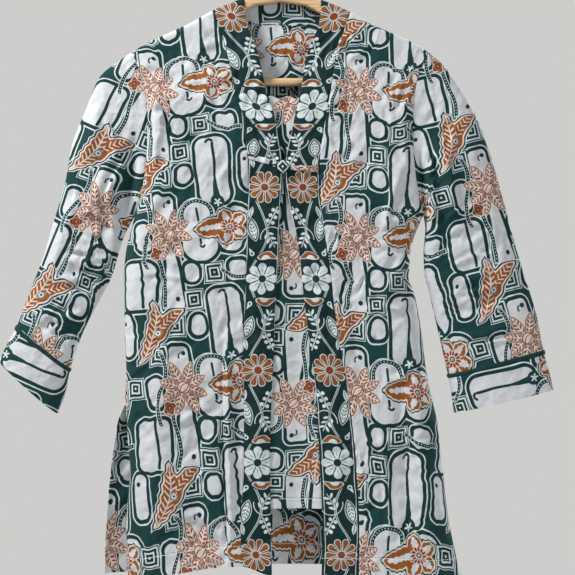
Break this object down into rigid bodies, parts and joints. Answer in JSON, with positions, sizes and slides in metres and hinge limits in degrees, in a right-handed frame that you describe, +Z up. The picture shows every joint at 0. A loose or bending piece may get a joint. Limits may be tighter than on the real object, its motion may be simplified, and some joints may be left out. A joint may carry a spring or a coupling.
{
  "type": "kebaya blouse on a hanger",
  "caption": "Long open-fronted printed cotton kebaya with three-quarter sleeves, border bands, centre panel and cloth knot, hung on a wooden hanger",
  "frame": {"origin": "underside of the hanger hook's bend, where it rests on a rail", "axes": "+Z up, +Y towards the back of the garment, +X towards the wearer's left"},
  "size_m": [0.8161, 0.0492, 0.9449],
  "materials": {
    "field_cotton": "plain-woven cotton, batik print of green lines, orange flowers and squares on pale grey-white",
    "border_cotton": "plain-woven cotton, daisy and vine border on deep green",
    "piping_green": "plain dark green cotton",
    "hanger_wood": "pale wood under satin lacquer",
    "hook_steel": "bright plated wire"
  },
  "bodies": {
    "root": {"front_right": "field_cotton", "front_left": "field_cotton", "back_panel": "field_cotton", "neck_band": "field_cotton", "centre_inset": "field_cotton", "sleeve_right": "field_cotton", "sleeve_left": "field_cotton", "cuff_right": "field_cotton", "cuff_left": "field_cotton", "strap_right": "field_cotton", "strap_left": "field_cotton", "knot": "field_cotton", "band_right": "border_cotton", "band_left": "border_cotton", "cuff_piping_right": "piping_green", "cuff_piping_left": "piping_green", "hanger_arms": "hanger_wood", "hanger_bar": "hanger_wood", "hanger_hook": "hook_steel"}
  },
  "joints": []
}
